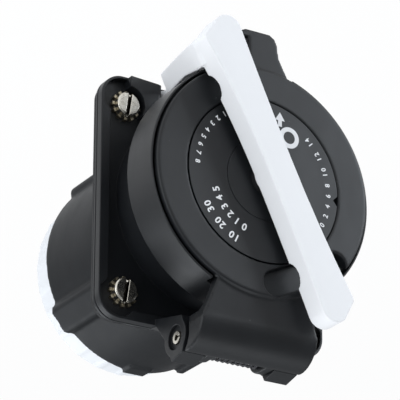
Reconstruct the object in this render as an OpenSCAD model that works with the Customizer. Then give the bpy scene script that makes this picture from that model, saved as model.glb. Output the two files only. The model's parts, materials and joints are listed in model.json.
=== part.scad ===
// Flange socket with a hinged lid and a rotary closing handle, for mounting in a panel.
// Every piece is drawn lying down: the panel is the plane z = 0, the socket points up along +z and
// the hinge lies towards -y. upright() then turns the whole so that it hangs on a wall panel:
// the panel is the plane y = 0, the front looks along -y and the hinge is on top.

/* [Flange] */
// Side of the square flange
flange_w = 87; // [86.5:0.5:90]
// Corner radius of the flange
flange_r = 8; // [6:0.5:9]
// Distance of the four panel screws from the flange's edges
screw_edge = 10; // [9.5:0.25:10.5]
// Thickness of the flange floor
floor_t = 1.6; // [1.4:0.1:2]
// Height of the raised rim above the floor
rim_h = 2.7; // [2.2:0.1:3]
// Width of the raised rim
rim_w = 3.6; // [3:0.1:4]
// Height of the catch block above the floor
catch_h = 4.8; // [4.4:0.1:5.2]
// Width of the shadow groove round the flange edge
edge_groove = 0.4; // [0.3:0.1:0.5]
// Thickness of the gasket against the panel
gasket_t = 1; // [0.8:0.1:1.5]
// Thickness of the rear housing's clamped plate
plate_t = 1.4; // [1.2:0.1:2]
// Thickness of the seal between flange and rear housing
seal_t = 0.4; // [0.3:0.1:0.6]

/* [Collar] */
// Offset of the socket axis from the flange centre, away from the hinge
axis_off = 1.4; // [1:0.1:2]
// Height of the collar's lip above the panel
collar_h = 37.7; // [37.4:0.1:38.4]
// Distance of the collar's head inside the flange's edge
head_in = 1.6; // [1.3:0.1:1.9]
// Height of the collar's head
head_h = 16.2; // [14:0.2:17]
// Undercut of the collar's head, down to the neck
neck_in = 5.9; // [5:0.1:7]
// Thickness of the wall round the plug bore
bore_wall = 12; // [11:0.5:13]
// Depth of the plug bore below the lip
bore_depth = 27; // [25:0.5:28]
// Depth of the lid's seat below the lip
seat_depth = 3.6; // [3.4:0.1:4]
// Thickness of the lip round the lid
lip_t = 0.8; // [0.7:0.1:0.9]

/* [Rear housing] */
// Distance of the rear barrel inside the flange's edge
barrel_in = 8.1; // [7.5:0.1:8.5]
// Length of the rear barrel behind the panel
barrel_l = 46.4; // [42:0.2:50]
// Offset of the barrel towards the hinge
barrel_off = 4; // [3:0.5:4.5]
// Wall of the barrel
barrel_wall = 2.4; // [2:0.1:3]
// Side of the four corner columns
column_w = 11; // [9:0.5:12]
// Height by which a column stands out of the barrel
column_out = 2.2; // [1.5:0.1:2.6]
// Height of the terminal body behind the barrel
terminal_h = 11; // [9:0.5:14]
// Number of ribs round the terminal body
rib_count = 24; // [16:1:28]

/* [Lid] */
// Gap between the lid disc and the lip round it
lid_gap = 0.6; // [0.5:0.1:0.8]
// Height of the lid's face above the lip
lid_proud = 1.7; // [1.5:0.1:2]
// Half width of the tongue where it leaves the disc
tongue_root = 16; // [15:0.5:17]
// Half width of the hinge
hinge_half = 22; // [21:0.5:22.5]
// Half width of the gap between the two hinge lugs
lug_gap = 13.2; // [12.8:0.1:13.6]
// Distance of the hinge pin from the flange centre
pin_y = 51.5; // [51.3:0.1:52]
// Height of the hinge pin above the panel
pin_z = 19.6; // [19.2:0.1:20]
// Radius of the hinge pin
pin_r = 2.1; // [1.9:0.1:2.2]
// Radius of the lug round the pin
lug_r = 6.6; // [6.2:0.1:6.8]
// Reach of the thumb ear from the flange centre
ear_reach = 56; // [55:0.5:57]
// Thickness of the thumb ear
ear_t = 6.5; // [5:0.5:8]
// Width of the padlock trough
trough_w = 9; // [8:0.5:10]
// Length of the padlock trough
trough_l = 34.8; // [32:0.5:36]
// Depth of the padlock trough
trough_d = 4.2; // [3.4:0.2:4.4]

/* [Handle] */
// Angle of the handle from the hinge line
handle_angle = 64.5; // [63.5:0.5:65]
// Half length of the handle
handle_reach = 55; // [54.5:0.1:55.5]
// Half width of the handle at its waist
waist = 5.2; // [4.8:0.1:5.6]
// Width of the flare beside the leg, from the handle's middle
end_half = 9; // [8.4:0.1:9.2]
// Width of the flare at the other end, from the handle's middle
far_half = 7.4; // [7:0.1:8]
// Thickness of the bar
bar_t = 8.6; // [8:0.1:9]
// Gap between the bar and the lid's face
bar_gap = 2.6; // [2.2:0.1:3]
// Thickness of the leg, from the collar outwards
leg_t = 9.3; // [8.8:0.1:9.5]
// Clearance between the leg and the collar
leg_clear = 0.5; // [0.4:0.1:0.7]
// Radius of the index disc
index_r = 28.7; // [28:0.1:29]
// Thickness of the index disc
index_t = 1.8; // [1.5:0.1:2]
// Radius of the hub ring
hub_r = 14.1; // [13.5:0.1:14.5]
// Radius of the handle's shaft
shaft_r = 5; // [4.6:0.1:5]

/* [Contacts] */
// Radius of the contact carrier
carrier_r = 17; // [16.5:0.1:17.5]
// Height of the carrier's front above the bore floor
carrier_h = 13; // [11:0.5:14]
// Radius of the circle on which the contacts stand
contact_pcd_r = 10; // [9.5:0.1:10.5]
// Radius of a contact sleeve
sleeve_r = 3.4; // [3.2:0.1:3.6]
// Bore radius of a contact sleeve
sleeve_bore = 2.45; // [2.3:0.05:2.6]

/* [Fasteners] */
// Shank radius of the panel screws
screw_r = 2.5; // [2.4:0.1:2.5]
// Head radius of the panel screws
screw_head_r = 4.25; // [4.1:0.05:4.4]
// Head height of the panel screws
screw_head_h = 3.2; // [3:0.1:3.4]
// Length of the panel screws behind the panel face
screw_reach = 10; // [8:1:14]
// Thickness of the toothed lock washers
washer_t = 0.5; // [0.4:0.1:0.6]

/* [Hidden] */
$fn = 96;
e = 0.01;
fit = 0.05;        // radial running clearance of pins and shafts
loose = 0.3;       // clearance between neighbouring pieces
hole_clear = 0.25; // radial clearance of screw holes

screw_spacing = flange_w - 2 * screw_edge;
head_r = flange_w / 2 - head_in;
neck_r = head_r - neck_in;
bore_r = neck_r - bore_wall;
lid_r = head_r - lip_t - lid_gap;
leg_out = head_r + leg_t;
barrel_r = flange_w / 2 - barrel_in;
plate_z = gasket_t;
flange_z = gasket_t + plate_t + seal_t;
floor_z = flange_z + floor_t;
rim_z = floor_z + rim_h;
catch_z = floor_z + catch_h;
head_z = collar_h - head_h;
seat_z = collar_h - seat_depth;
bore_z = collar_h - bore_depth;
face_z = collar_h + lid_proud;
lid_z = seat_z + 0.1;
carrier_z = bore_z + carrier_h;
bar_z = face_z + bar_gap;
top_z = bar_z + bar_t;
lip_in = head_r - lip_t;
leg_in = head_r + leg_clear;
back_z = -barrel_l;
screw_half = screw_spacing / 2;
corners = [for (i = [-1, 1], j = [-1, 1]) [i, j]];
contact_angles = [210, 330, 90];
gland_floor = 3;       // closed end of the barrel
taper_drop = 0.6;      // height of the lid's straight edge below its face
spigot_in = 2.4;       // inward taper of the lid's lower edge
pocket_r = screw_head_r + 1.75;
shank_in = 0.4;        // panel screws: undercut of the plain shank
thread_from = 0.4;     // start of the thread behind the panel face
pocket_wall = 1;       // thickness of the rim beside a screw
pocket_from = 29.4;    // start of the corner pockets, from the middle
column_angle = 37.3;   // angle of the first of the rear housing's four columns
bolt_teeth = 12;
catch_end = 20.8;      // catch block: distance of its nose from the middle
catch_slope = 1.2;     // drop of its top towards the nose
catch_in = 30;         // catch block: inner edge
nose_z = floor_z + 2.1; // underside of the undercut nose
nose_reach = 3.4;      // depth of the undercut under the nose
gap_end = 3;           // end of the rim gap for the leg, from the middle
leg_bottom = floor_z + 1.7;
hook_r = 2.6;          // radial thickness of the hook
hook_w = 4.6;          // width of the hook
hook_tip = 0.8;        // tip of the hook, to the left of the handle's middle
leg_bow = 1.5;         // bow of the leg's inner face
leg_side = 6.2;        // right side of the leg, from the handle's middle
leg_foot = 1.6;        // left side of the leg at its foot, from the handle's middle
ear_root = 11.6;       // half width of the ear at the disc
ear_tip = 6.4;         // half width of the ear's tip
nest_x = 4.6;          // inner wall of the nest that takes the leg, from the middle
bulge_r = 10.4;        // rounding of the tongue over the hinge
bulge_y = pin_y + 6.8; // outer face of the tongue
bulge_drop = 2.2;      // drop of the tongue's crown below the lid's face
sweep_r = 8.6;         // clear radius round the pin over the lugs
coil_r = 4.4;          // mean radius of the hinge spring
wire_r = 0.6;
coil_turns = 9;
lid_ear_in = 9.7;      // inner side of the lid's hinge ears
trough_at = 33.7;      // distance of the padlock trough from the axis
trough_side = 1.5;     // shift of the trough to the right of the handle
arch_r = 4.8;          // radius of the handle's arch over the trough
arch_h = 2.9;          // rise of the handle's arch over the trough
tip_r = 5.2;           // rounding of the handle's tips
tip_x = 1;             // shift of the tips to the right of the middle
heel_r = 2.6;          // rounding of the flares
heel_back = 6.6;       // distance of a flare behind its tip
index_z = face_z - index_t;
bush_wall = 1.6;
tail_r = 2;            // radius of a contact's tail
clamp_w = 8;           // terminal clamp: width
clamp_in = 3;          // inner side, from the contact
clamp_out = 8.5;       // outer side, from the contact
clamp_h = 5;           // height
clamp_foot = 2.4;      // depth below the terminal body's face
clamp_screw_x = 4.9;   // its screw, from the contact
clamp_screw_r = 1.45;
pivot_head = 3.4;
pivot_screw_l = 11;
carrier_screw_l = 10;

module upright() {
  rotate([90, 180, 0]) children();
}

// Square plate outline with round corners, made of true arcs
module rounded(w, l, r) {
  square([w - 2 * r, l], center = true);
  square([w, l - 2 * r], center = true);
  for (c = corners)
    translate([c[0] * (w / 2 - r), c[1] * (l / 2 - r)]) circle(r);
}

module at_screws() {
  for (c = corners) translate([c[0] * screw_half, c[1] * screw_half, 0]) children();
}

module at_axis() {
  translate([0, axis_off, 0]) children();
}

// Turns a shape into the handle's own direction: +y runs from the axis away from the hinge
module along_handle() {
  at_axis() rotate([0, 0, 90 - handle_angle]) children();
}

// A profile in (y, z), drawn as (y, z) points, swept across the hinge from x0 to x1
module across_hinge(x0, x1) {
  translate([x0, 0, 0]) rotate([90, 0, 90]) linear_extrude(x1 - x0) children();
}

module both_sides() {
  for (s = [0, 1]) mirror([s, 0, 0]) children();
}

function arc(x, y, r, from, to, n = 8) =
  [for (i = [0 : n]) let (a = from + (to - from) * i / n) [x + r * cos(a), y + r * sin(a)]];

// Half of the handle seen from the front: a curved waist, a round tip and a flare on the left
module bar_end(reach, flare) {
  tip_y = reach - tip_r;
  heel_y = reach - heel_back;
  polygon(concat(
    [for (i = [0 : 6]) let (t = i / 6) [waist + (tip_x + tip_r - waist) * t * t, t * tip_y]],
    arc(tip_x, tip_y, tip_r, 10, 114), arc(heel_r - flare, heel_y, heel_r, 118, 180),
    [for (i = [7 : -1 : 0]) let (t = i / 8) [-waist - (flare - waist) * t * t, t * heel_y]]));
}

module bar_outline() {
  bar_end(handle_reach, end_half);
  rotate([0, 0, 180]) bar_end(handle_reach - 1.4, far_half);
}

module lug_profile() {
  translate([-pin_y, pin_z]) circle(lug_r);
  polygon([[-pin_y - lug_r - 1.2, pin_z - 2.1], [-pin_y - lug_r + 0.3, pin_z + 4.6], [-pin_y, pin_z + lug_r],
           [-pin_y + lug_r, pin_z + 4], [-flange_w / 2 + 3, floor_z], [-flange_w / 2 + 3, flange_z],
           [-flange_w / 2, flange_z], [-flange_w / 2 - 0.6, floor_z + 3], [-pin_y + 1, pin_z - lug_r]]);
}

// Room round the four screws, where the rim is cut back to a thin wall
module corner_pockets() {
  inner = flange_w / 2 - rim_w - 1;
  outer = flange_w / 2 - pocket_wall;
  start = pocket_from + outer - inner;
  turn_r = flange_r - pocket_wall;
  for (a = [0 : 90 : 270]) rotate([0, 0, a]) polygon(concat(
    [[inner, pocket_from], [outer, start]], arc(outer - turn_r, outer - turn_r, turn_r, 0, 90),
    [[start, outer], [pocket_from, inner]]));
}

module flange_plate() {
  difference() {
    translate([0, 0, flange_z]) linear_extrude(rim_z - flange_z) rounded(flange_w, flange_w, flange_r);
    translate([0, 0, floor_z]) linear_extrude(rim_h + e)
      rounded(flange_w - 2 * rim_w, flange_w - 2 * rim_w, flange_r - rim_w);
    translate([0, 0, floor_z]) linear_extrude(rim_h + e) corner_pockets();
    translate([0, 0, flange_z + 1.1]) linear_extrude(edge_groove) difference() {
      square(flange_w + 2, center = true);
      rounded(flange_w - 2 * edge_groove, flange_w - 2 * edge_groove, flange_r - edge_groove);
    }
    translate([-catch_end - nose_reach, flange_w / 2 - rim_w - e, floor_z])
      cube([catch_end + nose_reach - gap_end, rim_w + 1, rim_h + e]);
  }
}

module catch_block() {
  nose_y = leg_in + hook_r + axis_off;
  difference() {
    translate([0, flange_w / 2, 0]) rotate([90, 0, 0]) linear_extrude(flange_w / 2 - catch_in) polygon([
      [-screw_half, flange_z + 1], [-catch_end, flange_z + 1], [-catch_end, nose_z + 1],
      [-catch_end - 1.4, catch_z - catch_slope], [-screw_half, catch_z]]);
    translate([-screw_half, screw_half, floor_z]) cylinder(r = pocket_r, h = catch_h + e);
    translate([-catch_end - nose_reach, 0, floor_z]) cube([nose_reach + 1, nose_y + 1, nose_z - floor_z]);
  }
}

module collar() {
  at_axis() rotate_extrude() polygon([
    [carrier_r + fit, bore_z - 5], [carrier_r + fit, bore_z], [bore_r, bore_z],
    [bore_r, seat_z - 0.8], [bore_r + 0.8, seat_z], [lip_in, seat_z], [lip_in, collar_h - 0.3],
    [lip_in + 0.2, collar_h], [head_r - 0.3, collar_h], [head_r, collar_h - 0.3],
    [head_r, head_z + 0.6], [head_r - 0.6, head_z], [neck_r + 2, head_z], [neck_r, head_z - 3],
    [neck_r, flange_z + 0.5], [neck_r - 3, flange_z + 0.5], [neck_r - 3, bore_z - 5]]);
}

module flange() {
  color("#2b2d2f") upright() difference() {
    union() {
      flange_plate();
      catch_block();
      collar();
      both_sides() across_hinge(lug_gap, hinge_half) lug_profile();
    }
    at_axis() translate([0, 0, flange_z - e]) cylinder(r = neck_r - 3, h = bore_z - 5 - flange_z);
    at_screws() translate([0, 0, flange_z - 1]) cylinder(r = screw_r + hole_clear, h = floor_z);
    // flat and gap that let the lid's tongue and ear pass over the collar
    translate([-tongue_root - 2.5, -head_r - 2, head_z + 4])
      cube([2 * tongue_root + 5, 4.6, head_h]);
    translate([-tongue_root - 2.5, -head_r - 2, seat_z]) cube([2 * tongue_root + 5, 10, head_h]);
    translate([-ear_root - 1, head_r - 5.6, seat_z - ear_t + 3]) cube([2 * ear_root + 2, 11, head_h]);
    translate([-hinge_half - 1, -pin_y, pin_z]) rotate([0, 90, 0])
      cylinder(r = pin_r + fit, h = 2 * hinge_half + 2);
    both_sides() translate([hinge_half - 1.2, -pin_y, pin_z]) rotate([0, 90, 0])
      cylinder(r = 2 * pin_r, h = 2);
    // groove of the collar gasket
    at_axis() translate([0, 0, seat_z - 1.2]) difference() {
      cylinder(r = index_r - 0.3, h = 2);
      translate([0, 0, -1]) cylinder(r = bore_r + 1.4, h = 4);
    }
    // threaded holes of the two carrier screws
    at_axis() for (s = [-1, 1]) translate([s * (bore_r + 4), 0, bore_z - 6]) cylinder(r = 1.5, h = 9);
  }
}

module body_seal() {
  color("#161718") upright() translate([0, 0, plate_z + plate_t]) linear_extrude(seal_t) difference() {
    rounded(flange_w - 1.2, flange_w - 1.2, flange_r - 0.6);
    for (c = corners) translate(c * screw_half) circle(screw_r + hole_clear);
    translate([0, axis_off]) circle(neck_r - 3);
  }
}

// Barrel with corner columns, a key rib and a closed end with the opening of the terminal body
module rear_housing() {
  color("#2e3032") upright() difference() {
    union() {
      translate([0, 0, plate_z]) linear_extrude(plate_t) rounded(flange_w - 0.6, flange_w - 0.6, flange_r);
      translate([0, -barrel_off, back_z]) {
        cylinder(r1 = barrel_r - 1, r2 = barrel_r, h = 1);
        translate([0, 0, 1]) cylinder(r = barrel_r, h = barrel_l + plate_z - 1 + e);
        for (a = [0 : 90 : 270]) rotate([0, 0, column_angle + a]) linear_extrude(barrel_l + plate_z + e)
          translate([barrel_r / 2 + column_out / 2, 0]) rounded(barrel_r + column_out, column_w, 2);
        translate([-4, -barrel_r - 0.7, 0]) cube([8, 6, 6]);
      }
    }
    translate([0, -barrel_off, back_z + gland_floor])
      cylinder(r = barrel_r - barrel_wall, h = barrel_l + plate_z + plate_t);
    translate([0, axis_off, back_z - 1]) cylinder(r = carrier_r + 3, h = gland_floor + 2);
    at_screws() cylinder(r = screw_r + hole_clear, h = plate_z + plate_t + e);
  }
}

module panel_gasket() {
  color("#141516") upright() linear_extrude(gasket_t) difference() {
    rounded(flange_w - 2, flange_w - 2, flange_r - 1);
    for (c = corners) translate(c * screw_half) circle(screw_r + hole_clear);
    translate([0, -barrel_off]) circle(barrel_r + column_out + loose);
  }
}

// Captive screws: the plain shank in the flange is thinner than the thread that takes the nut
module panel_screws() {
  color("#c9c4b4") upright() at_screws() difference() {
    union() {
      translate([0, 0, floor_z + washer_t]) cylinder(r = screw_head_r, h = screw_head_h - 0.4);
      translate([0, 0, floor_z + washer_t + screw_head_h - 0.4])
        cylinder(r1 = screw_head_r, r2 = screw_head_r - 0.5, h = 0.4);
      translate([0, 0, -thread_from - 1]) cylinder(r = screw_r - shank_in, h = floor_z + washer_t + 2);
      translate([0, 0, -screw_reach + 0.6]) cylinder(r = screw_r, h = screw_reach - 0.6 - thread_from);
      translate([0, 0, -screw_reach]) cylinder(r1 = screw_r - 0.6, r2 = screw_r, h = 0.6 + e);
    }
    rotate([0, 0, -8]) translate([-0.65, -6, floor_z + washer_t + screw_head_h - 1.6])
      cube([1.3, 12, 2]);
  }
}

module lock_washers() {
  color("#d8cfb6") upright() at_screws() translate([0, 0, floor_z]) difference() {
    union() {
      cylinder(r = screw_head_r, h = washer_t);
      for (i = [0 : bolt_teeth - 1]) rotate([0, 0, i * 360 / bolt_teeth])
        translate([screw_head_r - 0.6, -0.6, 0]) cube([1.6, 1.1, 1.1 + washer_t]);
    }
    translate([0, 0, -e]) cylinder(r = screw_r + 0.05, h = washer_t + 2 * e);
    translate([0, 0, washer_t]) cylinder(r = screw_head_r + 0.1, h = 4);
  }
}

// Rolled spring pin: a tube with a slot along it
module hinge_pin() {
  color("#cfcabb") upright() translate([-hinge_half + 0.5, -pin_y, pin_z]) rotate([0, 90, 0])
    difference() {
      cylinder(r = pin_r, h = 2 * hinge_half - 1);
      translate([0, 0, -1]) cylinder(r = pin_r / 2, h = 2 * hinge_half);
      translate([-pin_r - 1, -0.25, -1]) cube([pin_r + 1, 0.5, 2 * hinge_half]);
    }
}

// Closed tube of a round wire that follows a list of points, with a ring of sides at each point
function unit(v) = v / norm(v);
function heading(p, i) = unit(p[min(i + 1, len(p) - 1)] - p[max(i - 1, 0)]);
function ring(c, t, r, side, n) = [for (k = [0 : n - 1])
  let (a = unit(side - (side * t) * t), b = cross(t, a), q = 360 * k / n)
  c + r * (cos(q) * a + sin(q) * b)];
module wire(points, r, side, n = 8) {
  rings = [for (i = [0 : len(points) - 1]) each ring(points[i], heading(points, i), r, side, n)];
  last = (len(points) - 1) * n;
  polyhedron(points = rings, faces = concat(
    [[for (k = [0 : n - 1]) n - 1 - k]],
    [for (i = [0 : len(points) - 2], k = [0 : n - 1])
      let (a = i * n + k, b = i * n + (k + 1) % n) [a, b, b + n, a + n]],
    [[for (k = [0 : n - 1]) last + k]]), convexity = 10);
}

module hinge_spring() {
  half = lid_ear_in - loose - wire_r;
  steps = 18;
  turns = [for (i = [0 : coil_turns * steps]) let (a = 360 * i / steps + 200)
    [-half + 2 * half * i / (coil_turns * steps), coil_r * cos(a), coil_r * sin(a)]];
  color("#3c3d3e") upright() translate([0, -pin_y, pin_z]) wire(turns, wire_r, [1, 0, 0]);
}

module collar_gasket() {
  color("#1a1b1c") upright() at_axis() translate([0, 0, seat_z - 1.2]) difference() {
    cylinder(r = index_r - 0.3 - fit, h = 1.2);
    translate([0, 0, -1]) cylinder(r = bore_r + 1.4 + fit, h = 4);
  }
}

module at_contacts() {
  at_axis() for (a = contact_angles) rotate([0, 0, a]) translate([contact_pcd_r, 0, 0]) children();
}

// Insulating front block with a bored well for each contact and a keyway
module contact_carrier() {
  color("#3a3c40") upright() difference() {
    at_axis() union() {
      translate([0, 0, bore_z - 5]) cylinder(r = carrier_r, h = carrier_z - bore_z + 4.4);
      translate([0, 0, carrier_z - 0.6]) cylinder(r1 = carrier_r, r2 = carrier_r - 0.6, h = 0.6);
    }
    at_contacts() translate([0, 0, bore_z - 6]) cylinder(r = sleeve_r + fit, h = carrier_h + 8);
    at_axis() translate([-1.5, -carrier_r - 1, bore_z]) cube([3, 2.6, carrier_h + 1]);
  }
}

// Insulating base: a disc screwed under the collar and a plain body down to the terminals
module carrier_base() {
  color("#3a3c40") upright() difference() {
    at_axis() union() {
      translate([0, 0, back_z + 8]) cylinder(r = carrier_r, h = bore_z - back_z - 13);
      translate([0, 0, bore_z - 8]) cylinder(r = bore_r + 7, h = 3);
    }
    at_contacts() translate([0, 0, back_z]) cylinder(r = sleeve_r + fit, h = barrel_l + bore_z);
    at_axis() for (s = [-1, 1]) translate([s * (bore_r + 4), 0, bore_z - 9]) cylinder(r = 1.7, h = 6);
  }
}

module carrier_screws() {
  color("#c4c0b4") upright() at_axis() for (s = [-1, 1]) translate([s * (bore_r + 4), 0, bore_z - 8]) {
    cylinder(r = 1.45, h = carrier_screw_l);
    difference() {
      translate([0, 0, -2]) cylinder(r = 2.75, h = 2);
      translate([-0.4, -3, -3]) cube([0.8, 6, 1.9]);
    }
  }
}

// Turned contact: a bored sleeve at the front and a tail that runs to the terminal
module contact(i) {
  upright() at_axis() rotate([0, 0, contact_angles[i]]) translate([contact_pcd_r, 0, 0]) difference() {
    union() {
      translate([0, 0, back_z + 8]) cylinder(r = sleeve_r, h = carrier_z - 1.6 - back_z - 8);
      translate([0, 0, back_z - terminal_h + 1]) cylinder(r = tail_r, h = terminal_h + 8);
    }
    translate([0, 0, bore_z - 6]) cylinder(r = sleeve_bore, h = bore_depth);
    rotate([0, 0, 30]) translate([-0.3, -4, bore_z - 4]) cube([0.6, 8, carrier_h + 3]);
  }
}

module line_contact() { color("#b58a3c") contact(0); }

module neutral_contact() { color("#b58a3c") contact(1); }

module earth_contact() { color("#b58a3c") contact(2); }

// White ribbed body that closes the barrel and carries the three terminals
module terminal_body() {
  rim_r = barrel_r - 2.4;
  color("#eceae4") upright() difference() {
    union() {
      translate([0, -barrel_off, back_z - terminal_h]) {
        cylinder(r1 = rim_r - 1, r2 = rim_r, h = 1);
        translate([0, 0, 1]) cylinder(r = rim_r, h = terminal_h - 1);
        for (i = [0 : rib_count - 1]) rotate([0, 0, i * 360 / rib_count])
          translate([rim_r - 1, -1, 1.5]) cube([1.5, 2, terminal_h - 1.5]);
      }
      translate([0, axis_off, back_z - e]) cylinder(r = carrier_r + 3 - loose, h = 8 + e);
    }
    at_contacts() translate([0, 0, back_z - terminal_h - 1]) {
      cylinder(r = tail_r + fit, h = terminal_h + 12);
      translate([-clamp_in - fit, -clamp_w / 2 - fit, 0])
        cube([clamp_in + clamp_out + 2 * fit, clamp_w + 2 * fit, clamp_foot + clamp_h + 1 + fit]);
      translate([clamp_out, -clamp_w / 2 + 1.5, 0]) cube([6, clamp_w - 3, clamp_foot + 3]);
    }
  }
}

// Clamp blocks: each is bored for the contact's tail and for its screw
module terminal_clamps() {
  color("#b9b3a2") upright() at_contacts() translate([0, 0, back_z - terminal_h + clamp_foot]) difference() {
    translate([-clamp_in, -clamp_w / 2, 0]) cube([clamp_in + clamp_out, clamp_w, clamp_h]);
    translate([0, 0, -1]) cylinder(r = tail_r + fit, h = clamp_h + 2);
    translate([clamp_screw_x, 0, -1]) cylinder(r = clamp_screw_r + fit, h = clamp_h);
  }
}

module terminal_screws() {
  head_h = clamp_foot - 0.6;
  color("#c9c4b4") upright() at_contacts()
    translate([clamp_screw_x, 0, back_z - terminal_h + 0.6]) difference() {
      union() {
        cylinder(r = clamp_screw_r + 0.95, h = head_h);
        cylinder(r = clamp_screw_r, h = head_h + clamp_h - 1.4);
      }
      translate([-4, -0.4, -1]) cube([8, 0.8, 1.8]);
    }
}

module tongue_profile() {
  crown_foot = pin_z + 6;
  polygon([[-34, lid_z], [-34, face_z - 0.9], [-bulge_y + bulge_r, face_z - bulge_drop], [-pin_y - 0.5, crown_foot],
           [-pin_y + 5.4, crown_foot], [-pin_y + 5.4, lid_z - 2], [-pin_y + 7.5, lid_z]]);
  crown = face_z - bulge_drop - bulge_r;
  intersection() {
    translate([-bulge_y + bulge_r, crown]) circle(bulge_r);
    translate([-bulge_y, crown]) square(bulge_r + 1);
  }
  translate([-bulge_y, pin_z + 6]) square([bulge_r - 3.6, crown - pin_z - 6]);
}

// Tongue of the lid: flares towards the hinge and rolls over it; its two ears hold the pin
module tongue() {
  difference() {
    intersection() {
      across_hinge(-hinge_half, hinge_half) tongue_profile();
      linear_extrude(2 * collar_h) polygon([
        [-tongue_root, -33], [tongue_root, -33], [hinge_half, -pin_y + 2], [hinge_half, -70],
        [-hinge_half, -70], [-hinge_half, -pin_y + 2]]);
    }
    both_sides() translate([lug_gap - loose, -pin_y, pin_z]) rotate([0, 90, 0])
      cylinder(r = sweep_r, h = hinge_half);
    translate([-lid_ear_in, -pin_y, pin_z]) rotate([0, 90, 0])
      cylinder(r = coil_r + wire_r + 1, h = 2 * lid_ear_in);
  }
  both_sides() difference() {
    across_hinge(lid_ear_in, lug_gap - loose) union() {
      translate([-pin_y, pin_z]) circle(lug_r - 0.4);
      translate([-pin_y - lug_r + 0.4, pin_z]) square([2 * lug_r - 0.8, 8]);
    }
    translate([0, -pin_y, pin_z]) rotate([0, 90, 0]) cylinder(r = pin_r + fit, h = hinge_half);
  }
}

// Thumb ear, with a nest on its left that takes the handle's leg when it is released
module thumb_ear() {
  translate([0, 0, face_z - 1.4 - ear_t]) linear_extrude(ear_t) difference() {
    polygon([[-ear_root, 36], [-9, ear_reach - 3], [-8, ear_reach - 1], [-6, ear_reach],
             [3.4, ear_reach], [5.4, ear_reach - 1.2], [ear_tip, ear_reach - 3.4],
             [ear_tip + 0.6, ear_reach - 8], [ear_root, 39], [ear_root - 2, 36]]);
    translate([0, axis_off]) difference() {
      intersection() {
        translate([-head_r, head_r - 4]) square([head_r - nest_x, 20]);
        circle(leg_out + 1.1);
      }
      circle(leg_in - loose);
    }
    translate([0, axis_off]) circle(lid_r - 3);
  }
}

module lid_disc() {
  at_axis() rotate_extrude() polygon([
    [shaft_r + bush_wall, lid_z], [shaft_r + bush_wall, index_z - 0.1],
    [index_r + 0.35, index_z - 0.1], [index_r + 0.35, face_z], [lid_r - 0.4, face_z],
    [lid_r, face_z - 0.4], [lid_r, face_z - lid_proud - taper_drop],
    [lid_r - spigot_in, lid_z]]);
}

module lid() {
  color("#303234") upright() difference() {
    union() {
      lid_disc();
      tongue();
      thumb_ear();
    }
    along_handle() translate([trough_side, -trough_at, face_z - trough_d]) linear_extrude(trough_d + 1)
      rounded(trough_l, trough_w, trough_w / 2 - e);
  }
}

module pivot_bush() {
  color("#b08d45") upright() at_axis() translate([0, 0, lid_z]) difference() {
    cylinder(r = shaft_r + bush_wall, h = index_z - 0.1 - lid_z);
    translate([0, 0, -1]) cylinder(r = shaft_r + fit, h = 10);
  }
}

// Room inside the leg: round the collar, bowed out where the collar's lip passes as the lid opens
module leg_room() {
  rotate_extrude() polygon([
    [0, floor_z - 1], [leg_in + leg_bow / 3, floor_z - 1], [leg_in + leg_bow, floor_z + 9],
    [leg_in + leg_bow, head_z + 4], [leg_in + leg_bow / 2, head_z + 10], [leg_in, collar_h],
    [leg_in, top_z + 1], [0, top_z + 1]]);
}

// Leg of the handle: it reaches down beside the collar, narrows on its left and ends in a hook
module leg() {
  difference() {
    intersection() {
      rotate([90, 0, 180]) linear_extrude(leg_out) polygon([
        [-leg_side, leg_bottom], [-leg_side, bar_z + 2], [end_half - 0.4, bar_z + 2],
        [end_half - 0.4, bar_z], [-leg_foot, leg_bottom]]);
      cylinder(r = leg_out, h = top_z);
    }
    leg_room();
  }
  difference() {
    intersection() {
      translate([-hook_tip, leg_in, floor_z + 0.35]) cube([hook_w, hook_r + 2, leg_bottom + e - floor_z - 0.35]);
      cylinder(r = leg_in + leg_bow / 3 + hook_r, h = top_z);
    }
    leg_room();
  }
}

module handle() {
  color("#f0eee9") upright() along_handle() difference() {
    union() {
      translate([0, 0, bar_z]) linear_extrude(bar_t) bar_outline();
      leg();
      translate([0, 0, lid_z]) cylinder(r = shaft_r, h = bar_z - lid_z + e);
    }
    for (s = [-1, 1]) translate([-15, s * trough_at, bar_z + arch_h - arch_r]) rotate([0, 90, 0])
      cylinder(r = arch_r, h = 30);
    translate([0, 0, lid_z - 1]) cylinder(r = 2, h = 12);
  }
}

// Rotating disc flush with the lid's face; a notch in its edge shows the handle's position
module index_disc() {
  color("#35373a") upright() at_axis() translate([0, 0, index_z]) difference() {
    cylinder(r = index_r, h = index_t);
    translate([0, 0, -1]) cylinder(r = shaft_r + 0.02, h = 5);
    translate([0, 0, index_t - 0.8]) cylinder(r = hub_r + 0.15, h = 1);
    rotate([0, 0, -2.6]) translate([index_r - 1.7, 0, -1]) linear_extrude(5)
      polygon([[0, 0], [3, -3.4], [3, 3.4]]);
  }
}

module hub_ring() {
  color("#28292b") upright() at_axis() translate([0, 0, face_z - 0.8]) difference() {
    cylinder(r = hub_r, h = 0.8 + loose / 3);
    translate([0, 0, -1]) cylinder(r = shaft_r + 0.02, h = 3);
  }
}

module friction_ring() {
  color("#5a5347") upright() at_axis() translate([0, 0, lid_z - 1.1]) difference() {
    cylinder(r = shaft_r + 4, h = 1);
    translate([0, 0, -1]) cylinder(r = 2.6, h = 3);
  }
}

module pivot_washer() {
  color("#c4c0b4") upright() at_axis() translate([0, 0, lid_z - 2.1]) difference() {
    cylinder(r = shaft_r + 1, h = 1);
    translate([0, 0, -1]) cylinder(r = 2.2, h = 3);
  }
}

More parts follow.
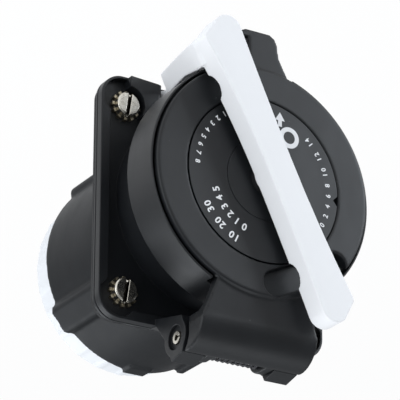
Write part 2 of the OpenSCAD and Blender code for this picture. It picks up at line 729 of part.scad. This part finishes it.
module pivot_screw() {
  color("#c9c4b4") upright() at_axis() {
    translate([0, 0, lid_z - 2.2]) cylinder(r = 1.95, h = pivot_screw_l);
    difference() {
      translate([0, 0, lid_z - 2.1 - pivot_head]) cylinder(r = 3.6, h = pivot_head);
      translate([0, 0, lid_z - 3.1 - pivot_head]) cylinder(r = 1.75, h = 3, $fn = 6);
    }
  }
}

flange();
body_seal();
rear_housing();
panel_gasket();
panel_screws();
lock_washers();
hinge_pin();
hinge_spring();
collar_gasket();
contact_carrier();
carrier_base();
carrier_screws();
line_contact();
neutral_contact();
earth_contact();
terminal_body();
terminal_clamps();
terminal_screws();
lid();
pivot_bush();
handle();
index_disc();
hub_ring();
friction_ring();
pivot_washer();
pivot_screw();
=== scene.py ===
"""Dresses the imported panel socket: a finish for every piece, softer edges, and the white marks on its disc.

Lengths are in metres in the row's frame: the panel is the plane y = 0, the front looks along -y and the hinge
is on top. The socket axis is parallel to y.
"""
import functools
import json
import math

import bmesh
import bpy
import numpy as np
from mathutils import Matrix, Vector


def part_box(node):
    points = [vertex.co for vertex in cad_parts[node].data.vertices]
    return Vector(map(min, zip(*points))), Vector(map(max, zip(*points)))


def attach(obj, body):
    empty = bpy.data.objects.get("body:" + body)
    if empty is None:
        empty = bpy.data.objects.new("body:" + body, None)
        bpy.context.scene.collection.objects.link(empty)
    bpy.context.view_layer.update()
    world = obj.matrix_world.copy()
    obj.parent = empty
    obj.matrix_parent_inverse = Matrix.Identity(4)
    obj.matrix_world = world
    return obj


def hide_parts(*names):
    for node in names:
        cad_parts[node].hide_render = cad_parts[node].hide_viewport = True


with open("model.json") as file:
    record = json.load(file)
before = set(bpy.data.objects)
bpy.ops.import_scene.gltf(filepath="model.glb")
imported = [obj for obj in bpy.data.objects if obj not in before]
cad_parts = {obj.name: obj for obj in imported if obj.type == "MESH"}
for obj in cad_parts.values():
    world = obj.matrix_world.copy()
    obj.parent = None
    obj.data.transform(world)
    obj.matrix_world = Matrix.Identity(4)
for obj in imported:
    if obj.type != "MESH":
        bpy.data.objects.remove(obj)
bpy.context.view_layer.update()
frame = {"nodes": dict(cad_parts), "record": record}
MM = 0.001

# ---------------------------------------------------------------- camera and lamps

scene = bpy.context.scene
scene.view_settings.view_transform = "Standard"

CAMERA_AT = Vector((0.48266, -0.80323, 0.39031))
CAMERA_RIGHT = Vector((-0.85683, -0.51558, -0.00338))
CAMERA_DOWN = Vector((-0.20464, 0.33407, 0.92006))
CAMERA_AHEAD = Vector((-0.47324, 0.78903, -0.39175))
SENSOR = 36.0
FOCAL = 270.0


def camera_axes(right, up, back):
    """Rotation whose columns are the camera's right, up and backward directions."""
    return Matrix((right, up, back)).transposed().to_4x4()


camera = bpy.data.objects.new("camera", bpy.data.cameras.new("camera"))
scene.collection.objects.link(camera)
camera.data.sensor_width = SENSOR
camera.data.lens = FOCAL
camera.data.clip_start, camera.data.clip_end = 0.05, 20.0
camera.matrix_world = Matrix.Translation(CAMERA_AT) @ camera_axes(CAMERA_RIGHT, -CAMERA_DOWN, -CAMERA_AHEAD)
scene.camera = camera


def in_view(right, up, ahead):
    """A place given by its distances to the right, upwards and ahead in the camera's view."""
    return CAMERA_AT + CAMERA_RIGHT * right - CAMERA_DOWN * up + CAMERA_AHEAD * ahead


MIDDLE = Vector((0.0, -0.01, 0.0))
SKY, BLUE_SKY = (0.92, 0.96, 1.0), (0.85, 0.92, 1.0)


def area_light(name, place, size, power, tint=SKY):
    """A square soft lamp at a place that looks at the middle of the socket."""
    data = bpy.data.lights.new(name, "AREA")
    data.shape, data.size, data.energy, data.color = "SQUARE", size, power, tint
    lamp = bpy.data.objects.new(name, data)
    scene.collection.objects.link(lamp)
    turn = (MIDDLE - place).to_track_quat("-Z", "Y")
    lamp.matrix_world = Matrix.Translation(place) @ turn.to_matrix().to_4x4()


# The key stands where the flat front faces mirror it, so it gives them their sheen.
area_light("key", in_view(0.42, 0.26, 1.08), 0.3, 2.2, BLUE_SKY)
area_light("fill", in_view(-0.7, 0.15, 0.25), 0.8, 5.0)
area_light("bounce", in_view(0.05, -0.8, 0.75), 0.7, 3.0)
area_light("back", MIDDLE + Vector((0.3, 0.8, 0.5)), 0.7, 4.0)

# ---------------------------------------------------------------- shader maths


class Socket:
    """An output socket that can be used in Python expressions; each operator adds its node."""

    def __init__(self, tree, out):
        self.tree, self.out = tree, out

    def _math(self, operation, a, b=None, clamp=False):
        node = self.tree.nodes.new("ShaderNodeMath")
        node.operation, node.use_clamp = operation, clamp
        for place, value in zip(node.inputs, (a, b)):
            if isinstance(value, Socket):
                self.tree.links.new(value.out, place)
            elif value is not None:
                place.default_value = value
        return Socket(self.tree, node.outputs[0])

    def __add__(self, other):
        return self._math("ADD", self, other)

    def __sub__(self, other):
        return self._math("SUBTRACT", self, other)

    def __mul__(self, other):
        return self._math("MULTIPLY", self, other)

    def __radd__(self, other):
        return self._math("ADD", other, self)

    def unsigned(self):
        """Without its sign."""
        return self._math("ABSOLUTE", self)

    def clamp(self):
        """Held between 0 and 1."""
        return self._math("ADD", self, 0.0, clamp=True)

    def ramp(self, low, high):
        """0 at low and 1 at high, straight between and held outside; low may be above high."""
        return self._math("MULTIPLY", self - low, 1.0 / (high - low), clamp=True)


class Finish:
    """A material with one Principled shader, built by expressions."""

    def __init__(self, name, metallic=0.0, **fixed):
        self.material = bpy.data.materials.new(name)
        self.material.use_nodes = True
        self.tree = self.material.node_tree
        self.shader = self.tree.nodes["Principled BSDF"]
        self.set(Metallic=metallic)
        for key, value in fixed.items():
            self.shader.inputs[key.replace("_", " ")].default_value = value
        self.place = self.node("ShaderNodeTexCoord").outputs["Object"]

    @classmethod
    def of(cls, material):
        """Takes up a finished material again, to add to it."""
        again = cls.__new__(cls)
        again.material, again.tree = material, material.node_tree
        again.shader = again.tree.nodes["Principled BSDF"]
        again.place = again.node("ShaderNodeTexCoord").outputs["Object"]
        return again

    def source(self, name):
        """What feeds one of the shader's sockets now."""
        return self.shader.inputs[name].links[0].from_socket

    def node(self, kind, settings=None, **sockets):
        """A new node with its settings and what goes into its sockets."""
        made = self.tree.nodes.new(kind)
        for key, value in (settings or {}).items():
            setattr(made, key, value)
        for key, value in sockets.items():
            self.put(made.inputs[key.replace("_", " ")], value)
        return made

    def put(self, place, value):
        """Links a socket to an input, or sets the input to a plain value."""
        if isinstance(value, Socket):
            value = value.out
        if isinstance(value, bpy.types.NodeSocket):
            self.tree.links.new(value, place)
        elif isinstance(value, tuple) and len(value) == 3 and place.type == "RGBA":
            place.default_value = (*value, 1.0)
        else:
            place.default_value = value

    def set(self, **sockets):
        """Puts values into the shader's own sockets."""
        for key, value in sockets.items():
            self.put(self.shader.inputs[key.replace("_", " ")], value)

    def noise(self, scale, detail=3.0, roughness=0.5, stretch=(1, 1, 1)):
        """Noise about 0.5; scale is in cells per metre, stretch multiplies it along each axis."""
        where = self.node("ShaderNodeMapping", Vector=self.place, Scale=stretch).outputs[0]
        made = self.node("ShaderNodeTexNoise", Vector=where, Scale=scale, Detail=detail, Roughness=roughness)
        return Socket(self.tree, made.outputs[0])

    def cells(self, scale):
        """Distance to the nearest of scattered points, in cells; scale is in cells per metre."""
        made = self.node("ShaderNodeTexVoronoi", Vector=self.place, Scale=scale)
        return Socket(self.tree, made.outputs["Distance"])

    def axes(self):
        """The place as x, y and z."""
        split = self.node("ShaderNodeSeparateXYZ", Vector=self.place)
        return [Socket(self.tree, out) for out in split.outputs]

    def edge(self, width):
        """0 on flat faces and up to 1 along outer edges: how far the rounded normal leaves the true one."""
        rounded = self.node("ShaderNodeBevel", {"samples": 4}, Radius=width).outputs[0]
        true = self.node("ShaderNodeNewGeometry").outputs["Normal"]
        dot = self.node("ShaderNodeVectorMath", {"operation": "DOT_PRODUCT"})
        self.put(dot.inputs[0], rounded)
        self.put(dot.inputs[1], true)
        return Socket(self.tree, dot.outputs["Value"]).ramp(0.999, 0.85)

    def mix(self, a, b, factor):
        """Colour a where the factor is 0 and b where it is 1."""
        made = self.node("ShaderNodeMix", {"data_type": "RGBA"})
        self.put(made.inputs["Factor"], factor)
        self.put(made.inputs[6], a)
        self.put(made.inputs[7], b)
        return made.outputs[2]

    def relief(self, height, depth, soften):
        """Bump by a height of 0 to 1 and a depth in metres; soften rounds the edges by shading too."""
        made = self.node("ShaderNodeBump", Strength=1.0, Distance=depth, Height=height)
        rounded = self.node("ShaderNodeBevel", {"samples": 4}, Radius=soften)
        self.put(made.inputs["Normal"], rounded.outputs[0])
        self.set(Normal=made.outputs[0])


DUST = (0.16, 0.165, 0.17)


def moulded(name, dark, light, roughness=0.5, soften=0.25 * MM, grain=0.02 * MM, dusty=True, **fixed):
    """Moulded plastic: fine spark texture, slow change of tone, paler scuffs on the edges, specks of dust."""
    f = Finish(name, **fixed)
    spark = f.noise(5200, 2.0, 0.6)
    cloud = f.noise(55, 3.0, 0.55)
    smear = f.noise(160, 4.0, 0.6, (1, 1, 0.35))
    worn = (f.edge(0.6 * MM) * f.noise(420, 4.0).ramp(0.42, 0.72)).clamp()
    paler = (cloud.ramp(0.35, 0.75) * 0.35 + spark.ramp(0.5, 0.8) * 0.18 + worn * 0.45).clamp()
    tone = f.mix(dark, light, paler)
    if dusty:
        speck = f.cells(300).ramp(0.05, 0.035) * f.noise(130, 2.0).ramp(0.56, 0.64)
        tone = f.mix(tone, DUST, speck * 0.7)
    dull = roughness + (smear - 0.5) * 0.16 + (spark - 0.5) * 0.08 - worn * 0.06
    f.set(Base_Color=tone, Roughness=dull.clamp())
    f.relief(spark, grain, soften)
    return f.material


def plated(name, bright, dark, roughness=0.3):
    """Plated steel: fine turning marks, cloudy passivation and dull patches."""
    f = Finish(name, metallic=1.0)
    cloud = f.noise(420, 4.0, 0.6)
    marks = f.noise(2600, 2.0, 0.5)
    spots = f.noise(1500, 3.0, 0.6).ramp(0.55, 0.75)
    f.set(Base_Color=f.mix(bright, dark, (cloud.ramp(0.4, 0.7) * 0.5 + spots * 0.35).clamp()))
    f.set(Roughness=(roughness + (cloud - 0.5) * 0.25 + (marks - 0.5) * 0.18).clamp())
    f.relief(marks, 0.012 * MM, 0.15 * MM)
    return f.material


def near_axis(dx, dz, inner, outer):
    """1 within the inner radius of an axis along y and 0 past the outer one, from the two distances to it."""
    return (dx * dx + dz * dz).ramp(outer ** 2, inner ** 2)


def handle_plastic():
    """White plastic of the handle, with painted shade: its round shaft, behind the bar, is coloured near
    black to stand for the shadow there.
    """
    material = moulded("handle_white", (0.72, 0.722, 0.735), (0.77, 0.772, 0.782), 0.62, 0.4 * MM, 0.008 * MM,
                       dusty=False, Specular_IOR_Level=0.15)
    f = Finish.of(material)
    x, y, z = f.axes()
    low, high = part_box("index_disc")
    shaft = near_axis(x, z - (low[2] + high[2]) / 2, 5.48 * MM, 5.74 * MM)
    behind = y.ramp(low[1] - 2.5 * MM, low[1] - 2.1 * MM)
    # Painted shade: the shaft behind the bar is coloured near black to stand for the shadow beside the hub.
    f.set(Base_Color=f.mix(f.source("Base Color"), SHAFT_PAINTED_SHADE, shaft * behind))
    return material


def screw_zinc():
    """Zinc on the panel screws: bright head, with painted shade darkening the slot below the head's face."""
    material = plated("screw_zinc", (0.70, 0.67, 0.60), (0.36, 0.33, 0.27), 0.26)
    f = Finish.of(material)
    x, y, z = f.axes()
    low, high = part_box("panel_screws")
    reach = high[0] - SCREW_HEAD_R
    head = near_axis(x.unsigned() - reach, z.unsigned() - reach, 3.46 * MM, 3.74 * MM)
    below_face = y.ramp(low[1] + 0.15 * MM, low[1] + 0.6 * MM)
    # Painted shade: the slot behind the head's face is coloured near black to stand for the shade inside it.
    f.set(Base_Color=f.mix(f.source("Base Color"), SLOT_PAINTED_SHADE, head * below_face))
    return material


SCREW_HEAD_R = 4.25 * MM
# Near black painted into the screw slots, as painted shade.
SLOT_PAINTED_SHADE = (0.03, 0.026, 0.02)
# Near black painted on the handle's shaft behind the bar, as painted shade.
SHAFT_PAINTED_SHADE = (0.012, 0.012, 0.013)
DISC_DARK, DISC_LIGHT = (0.0055, 0.0063, 0.0077), (0.014, 0.0155, 0.018)
SHELL_DARK, SHELL_LIGHT = (0.0050, 0.0058, 0.0072), (0.013, 0.0145, 0.0170)
FINISHES = {
    "shell": moulded("shell_black", SHELL_DARK, SHELL_LIGHT, 0.44, Specular_IOR_Level=0.36),
    "rear_shell": moulded("rear_shell_black", SHELL_DARK, SHELL_LIGHT, 0.5, Specular_IOR_Level=0.2),
    "disc": moulded("disc_black", DISC_DARK, DISC_LIGHT, 0.42, Specular_IOR_Level=0.36),
    "handle": handle_plastic(),
    "rubber": moulded("seal_rubber", (0.006, 0.006, 0.007), (0.012, 0.012, 0.013), 0.72),
    "screw_steel": screw_zinc(),
    "washer_steel": plated("washer_zinc", (0.50, 0.45, 0.34), (0.16, 0.12, 0.07), 0.42),
    "spring_steel": plated("spring_black", (0.06, 0.06, 0.065), (0.02, 0.02, 0.022), 0.45),
    "contact_brass": plated("contact_brass", (0.72, 0.60, 0.34), (0.45, 0.34, 0.16), 0.26),
    "carrier": moulded("carrier_grey", (0.035, 0.036, 0.04), (0.06, 0.062, 0.066), 0.45),
    "terminal": moulded("terminal_white", (0.62, 0.63, 0.65), (0.68, 0.69, 0.71), 0.5, dusty=False),
    "friction": moulded("friction_fibre", (0.13, 0.10, 0.07), (0.22, 0.18, 0.13), 0.8, dusty=False),
}

SLOTS = {row["node"]: row["material_slot"] for row in frame["record"]["subparts"]}
BODIES = {node: body for body, nodes in frame["record"]["behaviour"]["bodies"].items() for node in nodes}


def dress(obj, slot):
    """Gives an object the finish of a slot."""
    obj.data.materials.clear()
    obj.data.materials.append(FINISHES[slot])


for node, solid in frame["nodes"].items():
    dress(solid, SLOTS[node])

# ---------------------------------------------------------------- pieces with softer edges


def add_piece(name, mesh, body, slot):
    """Puts a mesh into the scene as a piece of a body, with the finish of a slot."""
    piece = bpy.data.objects.new(name, mesh)
    scene.collection.objects.link(piece)
    dress(piece, slot)
    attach(piece, body)
    return piece


MERGE = 0.03 * MM
FLAT, CREASE = math.radians(0.5), math.radians(32.0)
EDGE_SHARE = 0.42  # of the narrower face beside an edge, at most


def rolled(node, radius):
    """The CAD piece with its outer edges rolled over: the triangles are merged into whole faces, and each
    sharp outer edge gets the radius, or less where one of its two faces is too narrow for it."""
    solid = frame["nodes"][node]
    shape = bmesh.new()
    shape.from_mesh(solid.data)
    bmesh.ops.remove_doubles(shape, verts=shape.verts, dist=MERGE)
    bmesh.ops.dissolve_limit(shape, angle_limit=FLAT, verts=shape.verts, edges=shape.edges)
    shape.normal_update()
    width = {face: 2 * face.calc_area() / face.calc_perimeter() for face in shape.faces}
    share = shape.edges.layers.float.new("bevel_weight_edge")
    for edge in shape.edges:
        if len(edge.link_faces) != 2 or edge.calc_face_angle() < CREASE:
            continue
        if edge.is_convex:
            edge[share] = min(1.0, EDGE_SHARE * min(width[face] for face in edge.link_faces) / radius)
        else:
            edge.smooth = False
    for face in shape.faces:
        face.smooth = True
    mesh = bpy.data.meshes.new(node + "_rolled")
    shape.to_mesh(mesh)
    shape.free()
    piece = add_piece(node + "_rolled", mesh, BODIES[node], SLOTS[node])
    bevel = piece.modifiers.new("rolled edges", "BEVEL")
    bevel.limit_method, bevel.width, bevel.segments = "WEIGHT", radius, 3
    bevel.use_clamp_overlap = False
    piece.modifiers.new("even shading", "WEIGHTED_NORMAL").keep_sharp = True
    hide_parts(node)


def softened(node, grain, passes):
    """The CAD piece as a fine even skin of small squares, relaxed a few times so that every edge is soft."""
    shape = bmesh.new()
    shape.from_mesh(frame["nodes"][node].data)
    bmesh.ops.remove_doubles(shape, verts=shape.verts, dist=0.002 * MM)
    mesh = bpy.data.meshes.new(node + "_soft")
    shape.to_mesh(mesh)
    shape.free()
    piece = add_piece(node + "_soft", mesh, BODIES[node], SLOTS[node])
    skin = piece.modifiers.new("even skin", "REMESH")
    skin.mode, skin.voxel_size, skin.use_smooth_shade = "VOXEL", grain, True
    relax = piece.modifiers.new("relaxed edges", "SMOOTH")
    relax.factor, relax.iterations = 0.5, passes
    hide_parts(node)


ROLLED_EDGES = {"flange": 0.3, "panel_screws": 0.25}
for node, edge_mm in ROLLED_EDGES.items():
    rolled(node, edge_mm * MM)

# Side of the skin's squares in mm, and how often it is relaxed.
SOFT_SKINS = {"handle": (0.33, 4), "lid": (0.45, 2), "rear_housing": (0.8, 2), "terminal_body": (0.6, 4)}
for node, (grain_mm, passes) in SOFT_SKINS.items():
    softened(node, grain_mm * MM, passes)


# ---------------------------------------------------------------- white marks on the index disc

DISC_LOW, DISC_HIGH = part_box("index_disc")
DISC_MIDDLE = np.array([DISC_LOW[0] + DISC_HIGH[0], DISC_LOW[2] + DISC_HIGH[2]]) / 2
INK = 0.04 * MM


def on_disc(flat, lift):
    """Points on the disc's face in the row's frame, from mm off its middle as seen with the hinge below."""
    across, up = (DISC_MIDDLE - np.asarray(flat) * MM).T
    return np.column_stack((across, DISC_LOW[1] - np.asarray(lift), up))


def printed(name, flat, lift, faces):
    """A thin layer of white ink on the disc."""
    mesh = bpy.data.meshes.new(name)
    mesh.from_pydata(on_disc(flat, lift).tolist(), [], faces)
    add_piece(name, mesh, BODIES["index_disc"], "handle")


def band(outer, inner):
    """Closed layer between two outlines of equal length: the top strip, both rims and the underside."""
    n = len(outer)
    flat = np.vstack((outer, inner, inner, outer))
    lift = np.repeat((INK, INK, 0.0, 0.0), n)
    faces = [(k * n + i, k * n + (i + 1) % n, (k + 1) % 4 * n + (i + 1) % n, (k + 1) % 4 * n + i)
             for k in range(4) for i in range(n)]
    return flat, lift, faces


def circle(middle, radius, steps=64):
    """Points round a circle."""
    turn = np.linspace(0, 2 * math.pi, steps, endpoint=False)
    return np.asarray(middle) + radius * np.column_stack((np.cos(turn), np.sin(turn)))


RING_AT, RING_OUT, RING_IN = (9.9, 17.6), 3.8, 2.2
ARROW_TIP = (6.3, 26.1)
ARROW_HEAD = (1.9, 3.0)    # half its width, and its length
ARROW_SHAFT = (0.75, 5.2)  # half its width, and its length with the head


def ring_mark():
    """The ring that stands for the closed position."""
    printed("ring_mark", *band(circle(RING_AT, RING_OUT), circle(RING_AT, RING_IN)))


def arrow_mark():
    """A short arrow towards the rim, filled by shrinking its outline to its middle line."""
    head_w, head_l = ARROW_HEAD
    shaft_w, whole_l = ARROW_SHAFT
    half = [(0, 0), (head_w, -head_l), (shaft_w, -head_l), (shaft_w, -whole_l)]
    outline = np.array(half + [(-x, y) for x, y in reversed(half[1:])]) + ARROW_TIP
    along = np.minimum(outline[:, 1], ARROW_TIP[1] - 1.1)
    printed("arrow_mark", *band(outline, np.column_stack((np.full(len(outline), ARROW_TIP[0]), along))))


@functools.lru_cache(maxsize=None)
def glyph(sign, height):
    """The flat mesh of one numeral of the built-in typeface, as points and faces."""
    words = bpy.data.curves.new("numeral", "FONT")
    words.body, words.size, words.align_x = sign, height * 1.38, "CENTER"
    words.resolution_u, words.offset = 3, height * 0.035
    made = bpy.data.objects.new("numeral", words)
    mesh = bpy.data.meshes.new_from_object(made)
    place = np.empty(3 * len(mesh.vertices))
    mesh.vertices.foreach_get("co", place)
    bpy.data.objects.remove(made)
    return place.reshape(-1, 3)[:, :2], [tuple(face.vertices) for face in mesh.polygons]


def numerals(name, signs, radius, start, step, height, outward):
    """Plain numbers round the disc: one after another from an angle, with their heads outwards or inwards."""
    flats, faces, count = [], [], 0
    for index, sign in enumerate(signs):
        if sign == " ":
            continue
        shape, polygons = glyph(sign, height)
        turn = math.radians(start + step * index)
        ray = np.array((math.cos(turn), math.sin(turn)))
        head = ray if outward else -ray
        side = np.array((head[1], -head[0]))
        foot = ray * radius - head * height / 2
        flats.append(foot + shape[:, :1] * side + shape[:, 1:] * head)
        faces += [tuple(count + i for i in polygon) for polygon in polygons]
        count += len(shape)
    flat = np.vstack(flats)
    printed(name, flat, np.full(len(flat), INK), faces)


ring_mark()
arrow_mark()
# Name, numbers, radius in mm, angle of the first, angle from one to the next, height in mm, heads outwards.
NUMERALS = (
    ("numerals_lower", "10 20 30", 25.3, -115.0, -4.9, 2.6, True),
    ("numerals_inner", "0 1 2 3 4 5", 19.9, -113.0, -4.6, 2.6, True),
    ("numerals_upper", "1 2 3 4 5 6 7 8", 25.4, 127.0, 3.6, 1.8, False),
    ("numerals_right", "0 2 4 6 8 10 12 14", 25.0, -26.0, 4.3, 1.8, False),
)
for row in NUMERALS:
    numerals(*row)

# ---------------------------------------------------------------- surroundings

FLOOR_REACH, FLOOR_Z = 6.0, -0.26
FLOOR_WHITE, FLOOR_SHEEN = 0.93, 0.55  # how white the floor is to the camera, and in the pieces' sheen
WORLD_SHEEN, WORLD_EXTRA = 0.35, 0.45  # strength of the world in sheen, and what dull light gets on top


def backdrop():
    """A wide pale floor: nearly white to the camera, greyer in the sheen of the pieces, with their shadow."""
    far = FLOOR_REACH
    mesh = bpy.data.meshes.new("floor")
    mesh.from_pydata([(-far, -far, FLOOR_Z), (far, -far, FLOOR_Z), (far, far, FLOOR_Z), (-far, far, FLOOR_Z)],
                     [], [(0, 1, 2, 3)])
    floor = bpy.data.objects.new("floor", mesh)
    scene.collection.objects.link(floor)
    material = bpy.data.materials.new("floor_paper")
    material.use_nodes = True
    mesh.materials.append(material)
    tree = material.node_tree
    paper = tree.nodes["Principled BSDF"]
    paper.inputs["Base Color"].default_value = (0.9, 0.9, 0.9, 1)
    paper.inputs["Roughness"].default_value = 0.9
    white = tree.nodes.new("ShaderNodeEmission")
    white.inputs["Strength"].default_value = 0.985
    ray = tree.nodes.new("ShaderNodeLightPath").outputs
    camera_ray, glossy_ray = Socket(tree, ray["Is Camera Ray"]), Socket(tree, ray["Is Glossy Ray"])
    share = camera_ray * FLOOR_WHITE + glossy_ray * FLOOR_SHEEN
    mixer = tree.nodes.new("ShaderNodeMixShader")
    tree.links.new(share.out, mixer.inputs[0])
    tree.links.new(paper.outputs[0], mixer.inputs[1])
    tree.links.new(white.outputs[0], mixer.inputs[2])
    tree.links.new(mixer.outputs[0], tree.nodes["Material Output"].inputs["Surface"])


def surroundings():
    """World light: brighter on dull surfaces than in sheen, and white to the camera."""
    world = bpy.data.worlds.new("studio")
    scene.world = world
    world.use_nodes = True
    tree = world.node_tree
    ray = tree.nodes.new("ShaderNodeLightPath").outputs
    strength = Socket(tree, ray["Is Diffuse Ray"]) * WORLD_EXTRA + WORLD_SHEEN
    soft = tree.nodes["Background"]
    soft.inputs["Color"].default_value = (0.94, 0.97, 1.0, 1)
    tree.links.new(strength.out, soft.inputs["Strength"])
    seen = tree.nodes.new("ShaderNodeBackground")
    seen.inputs["Color"].default_value = (1, 1, 1, 1)
    mixer = tree.nodes.new("ShaderNodeMixShader")
    tree.links.new(ray["Is Camera Ray"], mixer.inputs[0])
    tree.links.new(soft.outputs[0], mixer.inputs[1])
    tree.links.new(seen.outputs[0], mixer.inputs[2])
    tree.links.new(mixer.outputs[0], tree.nodes["World Output"].inputs["Surface"])


backdrop()
surroundings()
